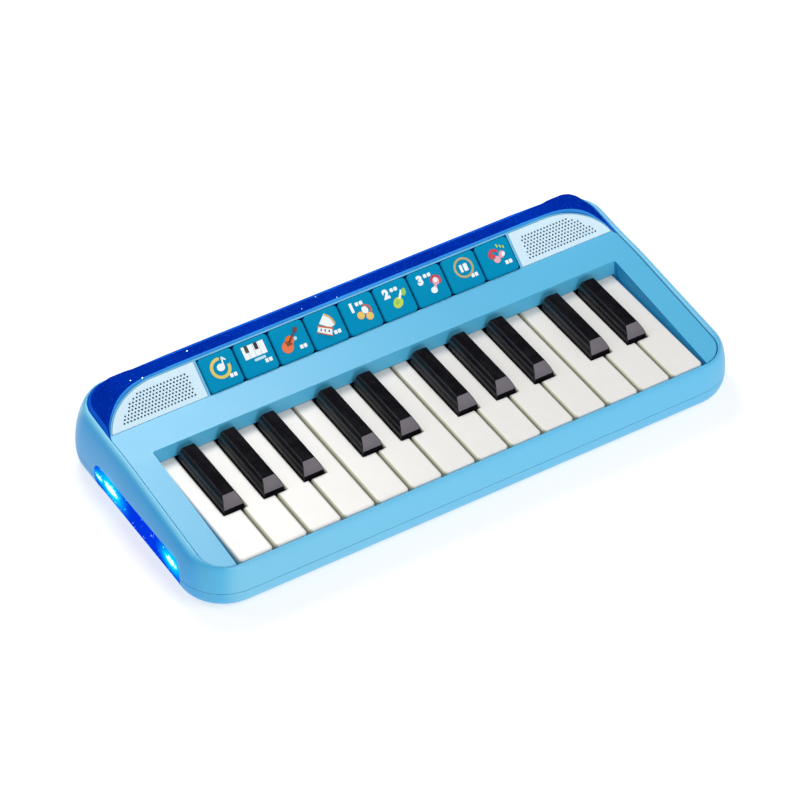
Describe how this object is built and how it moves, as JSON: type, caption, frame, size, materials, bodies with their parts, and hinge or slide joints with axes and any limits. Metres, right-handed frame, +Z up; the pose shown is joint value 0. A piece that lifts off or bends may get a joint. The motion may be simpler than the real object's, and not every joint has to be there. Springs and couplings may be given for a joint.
{
  "type": "toy electronic keyboard",
  "caption": "Small toy electronic keyboard with a rounded blue case, sprung white and black keys, push buttons on a ramp between two speaker grilles, and clear blue light strips.",
  "frame": {"origin": "under the middle of the case, at the height of the surface that it stands on", "axes": "+X runs along the keys from the low notes to the high notes, -Y is the player side and +Z is up"},
  "size_m": [0.3372, 0.1642, 0.0514],
  "materials": {
    "case_blue": "satin moulded sky blue",
    "base_blue": "satin moulded sky blue, a little deeper",
    "panel_blue": "satin moulded sky blue",
    "light_blue_clear": "clear royal blue with fine glitter, polished",
    "grille_white": "bluish white, fine texture",
    "key_white": "smooth warm white",
    "key_black": "fine-grained black",
    "button_teal": "satin teal",
    "steel": "plain steel",
    "board_green": "printed circuit board",
    "rubber_grey": "soft grey rubber",
    "speaker_black": "black paper and painted steel",
    "cell_wrap": "printed wrap",
    "dark_plastic": "black moulded plastic"
  },
  "bodies": {
    "case": {"battery_1": "cell_wrap", "battery_2": "cell_wrap", "battery_3": "cell_wrap", "battery_contact_left": "steel", "battery_contact_right": "steel", "battery_door": "base_blue", "battery_door_screw": "steel", "button_pad": "rubber_grey", "key_contact_board": "board_green", "key_dome_strip": "rubber_grey", "key_pivot_rod": "steel", "light_bar": "light_blue_clear", "light_bar_board": "board_green", "lower_case": "base_blue", "main_board": "board_green", "power_switch_body": "steel", "side_light_board_left": "board_green", "side_light_board_right": "board_green", "side_light_left": "light_blue_clear", "side_light_right": "light_blue_clear", "speaker_grille_left": "grille_white", "speaker_grille_right": "grille_white", "speaker_left": "speaker_black", "speaker_right": "speaker_black", "top_panel": "panel_blue", "upper_case": "case_blue"},
    "black_key_01_f_sharp": {"black_key_01_f_sharp": "key_black"},
    "black_key_02_g_sharp": {"black_key_02_g_sharp": "key_black"},
    "black_key_03_a_sharp": {"black_key_03_a_sharp": "key_black"},
    "black_key_04_c_sharp": {"black_key_04_c_sharp": "key_black"},
    "black_key_05_d_sharp": {"black_key_05_d_sharp": "key_black"},
    "black_key_06_f_sharp": {"black_key_06_f_sharp": "key_black"},
    "black_key_07_g_sharp": {"black_key_07_g_sharp": "key_black"},
    "black_key_08_a_sharp": {"black_key_08_a_sharp": "key_black"},
    "black_key_09_c_sharp": {"black_key_09_c_sharp": "key_black"},
    "black_key_10_d_sharp": {"black_key_10_d_sharp": "key_black"},
    "button_1": {"button_1": "button_teal"},
    "button_2": {"button_2": "button_teal"},
    "button_3": {"button_3": "button_teal"},
    "button_4": {"button_4": "button_teal"},
    "button_5": {"button_5": "button_teal"},
    "button_6": {"button_6": "button_teal"},
    "button_7": {"button_7": "button_teal"},
    "button_8": {"button_8": "button_teal"},
    "button_9": {"button_9": "button_teal"},
    "power_switch_knob": {"power_switch_knob": "dark_plastic"},
    "white_key_01_f": {"white_key_01_f": "key_white"},
    "white_key_02_g": {"white_key_02_g": "key_white"},
    "white_key_03_a": {"white_key_03_a": "key_white"},
    "white_key_04_b": {"white_key_04_b": "key_white"},
    "white_key_05_c": {"white_key_05_c": "key_white"},
    "white_key_06_d": {"white_key_06_d": "key_white"},
    "white_key_07_e": {"white_key_07_e": "key_white"},
    "white_key_08_f": {"white_key_08_f": "key_white"},
    "white_key_09_g": {"white_key_09_g": "key_white"},
    "white_key_10_a": {"white_key_10_a": "key_white"},
    "white_key_11_b": {"white_key_11_b": "key_white"},
    "white_key_12_c": {"white_key_12_c": "key_white"},
    "white_key_13_d": {"white_key_13_d": "key_white"},
    "white_key_14_e": {"white_key_14_e": "key_white"}
  },
  "joints": [
    {"name": "black_key_01_f_sharp_hinge", "type": "hinge", "parent": "case", "child": "black_key_01_f_sharp", "pos_m": [0, 0.028, 0.0232], "axis": [1, 0, 0], "range_deg": [0, 2.3], "stiffness_Nm_per_rad": 0.5, "springref_deg": -4.58},
    {"name": "black_key_02_g_sharp_hinge", "type": "hinge", "parent": "case", "child": "black_key_02_g_sharp", "pos_m": [0, 0.028, 0.0232], "axis": [1, 0, 0], "range_deg": [0, 2.3], "stiffness_Nm_per_rad": 0.5, "springref_deg": -4.58},
    {"name": "black_key_03_a_sharp_hinge", "type": "hinge", "parent": "case", "child": "black_key_03_a_sharp", "pos_m": [0, 0.028, 0.0232], "axis": [1, 0, 0], "range_deg": [0, 2.3], "stiffness_Nm_per_rad": 0.5, "springref_deg": -4.58},
    {"name": "black_key_04_c_sharp_hinge", "type": "hinge", "parent": "case", "child": "black_key_04_c_sharp", "pos_m": [0, 0.028, 0.0232], "axis": [1, 0, 0], "range_deg": [0, 2.3], "stiffness_Nm_per_rad": 0.5, "springref_deg": -4.58},
    {"name": "black_key_05_d_sharp_hinge", "type": "hinge", "parent": "case", "child": "black_key_05_d_sharp", "pos_m": [0, 0.028, 0.0232], "axis": [1, 0, 0], "range_deg": [0, 2.3], "stiffness_Nm_per_rad": 0.5, "springref_deg": -4.58},
    {"name": "black_key_06_f_sharp_hinge", "type": "hinge", "parent": "case", "child": "black_key_06_f_sharp", "pos_m": [0, 0.028, 0.0232], "axis": [1, 0, 0], "range_deg": [0, 2.3], "stiffness_Nm_per_rad": 0.5, "springref_deg": -4.58},
    {"name": "black_key_07_g_sharp_hinge", "type": "hinge", "parent": "case", "child": "black_key_07_g_sharp", "pos_m": [0, 0.028, 0.0232], "axis": [1, 0, 0], "range_deg": [0, 2.3], "stiffness_Nm_per_rad": 0.5, "springref_deg": -4.58},
    {"name": "black_key_08_a_sharp_hinge", "type": "hinge", "parent": "case", "child": "black_key_08_a_sharp", "pos_m": [0, 0.028, 0.0232], "axis": [1, 0, 0], "range_deg": [0, 2.3], "stiffness_Nm_per_rad": 0.5, "springref_deg": -4.58},
    {"name": "black_key_09_c_sharp_hinge", "type": "hinge", "parent": "case", "child": "black_key_09_c_sharp", "pos_m": [0, 0.028, 0.0232], "axis": [1, 0, 0], "range_deg": [0, 2.3], "stiffness_Nm_per_rad": 0.5, "springref_deg": -4.58},
    {"name": "black_key_10_d_sharp_hinge", "type": "hinge", "parent": "case", "child": "black_key_10_d_sharp", "pos_m": [0, 0.028, 0.0232], "axis": [1, 0, 0], "range_deg": [0, 2.3], "stiffness_Nm_per_rad": 0.5, "springref_deg": -4.58},
    {"name": "button_1_slide", "type": "slide", "parent": "case", "child": "button_1", "axis": [0, 0.6397, -0.7686], "range_m": [0, 0.0015], "stiffness_N_per_m": 400, "springref_m": -0.0015},
    {"name": "button_2_slide", "type": "slide", "parent": "case", "child": "button_2", "axis": [0, 0.6397, -0.7686], "range_m": [0, 0.0015], "stiffness_N_per_m": 400, "springref_m": -0.0015},
    {"name": "button_3_slide", "type": "slide", "parent": "case", "child": "button_3", "axis": [0, 0.6397, -0.7686], "range_m": [0, 0.0015], "stiffness_N_per_m": 400, "springref_m": -0.0015},
    {"name": "button_4_slide", "type": "slide", "parent": "case", "child": "button_4", "axis": [0, 0.6397, -0.7686], "range_m": [0, 0.0015], "stiffness_N_per_m": 400, "springref_m": -0.0015},
    {"name": "button_5_slide", "type": "slide", "parent": "case", "child": "button_5", "axis": [0, 0.6397, -0.7686], "range_m": [0, 0.0015], "stiffness_N_per_m": 400, "springref_m": -0.0015},
    {"name": "button_6_slide", "type": "slide", "parent": "case", "child": "button_6", "axis": [0, 0.6397, -0.7686], "range_m": [0, 0.0015], "stiffness_N_per_m": 400, "springref_m": -0.0015},
    {"name": "button_7_slide", "type": "slide", "parent": "case", "child": "button_7", "axis": [0, 0.6397, -0.7686], "range_m": [0, 0.0015], "stiffness_N_per_m": 400, "springref_m": -0.0015},
    {"name": "button_8_slide", "type": "slide", "parent": "case", "child": "button_8", "axis": [0, 0.6397, -0.7686], "range_m": [0, 0.0015], "stiffness_N_per_m": 400, "springref_m": -0.0015},
    {"name": "button_9_slide", "type": "slide", "parent": "case", "child": "button_9", "axis": [0, 0.6397, -0.7686], "range_m": [0, 0.0015], "stiffness_N_per_m": 400, "springref_m": -0.0015},
    {"name": "power_switch_slide", "type": "slide", "parent": "case", "child": "power_switch_knob", "axis": [1, 0, 0], "range_m": [-0.003, 0]},
    {"name": "white_key_01_f_hinge", "type": "hinge", "parent": "case", "child": "white_key_01_f", "pos_m": [0, 0.028, 0.0232], "axis": [1, 0, 0], "range_deg": [0, 2.3], "stiffness_Nm_per_rad": 0.5, "springref_deg": -4.58},
    {"name": "white_key_02_g_hinge", "type": "hinge", "parent": "case", "child": "white_key_02_g", "pos_m": [0, 0.028, 0.0232], "axis": [1, 0, 0], "range_deg": [0, 2.3], "stiffness_Nm_per_rad": 0.5, "springref_deg": -4.58},
    {"name": "white_key_03_a_hinge", "type": "hinge", "parent": "case", "child": "white_key_03_a", "pos_m": [0, 0.028, 0.0232], "axis": [1, 0, 0], "range_deg": [0, 2.3], "stiffness_Nm_per_rad": 0.5, "springref_deg": -4.58},
    {"name": "white_key_04_b_hinge", "type": "hinge", "parent": "case", "child": "white_key_04_b", "pos_m": [0, 0.028, 0.0232], "axis": [1, 0, 0], "range_deg": [0, 2.3], "stiffness_Nm_per_rad": 0.5, "springref_deg": -4.58},
    {"name": "white_key_05_c_hinge", "type": "hinge", "parent": "case", "child": "white_key_05_c", "pos_m": [0, 0.028, 0.0232], "axis": [1, 0, 0], "range_deg": [0, 2.3], "stiffness_Nm_per_rad": 0.5, "springref_deg": -4.58},
    {"name": "white_key_06_d_hinge", "type": "hinge", "parent": "case", "child": "white_key_06_d", "pos_m": [0, 0.028, 0.0232], "axis": [1, 0, 0], "range_deg": [0, 2.3], "stiffness_Nm_per_rad": 0.5, "springref_deg": -4.58},
    {"name": "white_key_07_e_hinge", "type": "hinge", "parent": "case", "child": "white_key_07_e", "pos_m": [0, 0.028, 0.0232], "axis": [1, 0, 0], "range_deg": [0, 2.3], "stiffness_Nm_per_rad": 0.5, "springref_deg": -4.58},
    {"name": "white_key_08_f_hinge", "type": "hinge", "parent": "case", "child": "white_key_08_f", "pos_m": [0, 0.028, 0.0232], "axis": [1, 0, 0], "range_deg": [0, 2.3], "stiffness_Nm_per_rad": 0.5, "springref_deg": -4.58},
    {"name": "white_key_09_g_hinge", "type": "hinge", "parent": "case", "child": "white_key_09_g", "pos_m": [0, 0.028, 0.0232], "axis": [1, 0, 0], "range_deg": [0, 2.3], "stiffness_Nm_per_rad": 0.5, "springref_deg": -4.58},
    {"name": "white_key_10_a_hinge", "type": "hinge", "parent": "case", "child": "white_key_10_a", "pos_m": [0, 0.028, 0.0232], "axis": [1, 0, 0], "range_deg": [0, 2.3], "stiffness_Nm_per_rad": 0.5, "springref_deg": -4.58},
    {"name": "white_key_11_b_hinge", "type": "hinge", "parent": "case", "child": "white_key_11_b", "pos_m": [0, 0.028, 0.0232], "axis": [1, 0, 0], "range_deg": [0, 2.3], "stiffness_Nm_per_rad": 0.5, "springref_deg": -4.58},
    {"name": "white_key_12_c_hinge", "type": "hinge", "parent": "case", "child": "white_key_12_c", "pos_m": [0, 0.028, 0.0232], "axis": [1, 0, 0], "range_deg": [0, 2.3], "stiffness_Nm_per_rad": 0.5, "springref_deg": -4.58},
    {"name": "white_key_13_d_hinge", "type": "hinge", "parent": "case", "child": "white_key_13_d", "pos_m": [0, 0.028, 0.0232], "axis": [1, 0, 0], "range_deg": [0, 2.3], "stiffness_Nm_per_rad": 0.5, "springref_deg": -4.58},
    {"name": "white_key_14_e_hinge", "type": "hinge", "parent": "case", "child": "white_key_14_e", "pos_m": [0, 0.028, 0.0232], "axis": [1, 0, 0], "range_deg": [0, 2.3], "stiffness_Nm_per_rad": 0.5, "springref_deg": -4.58}
  ]
}
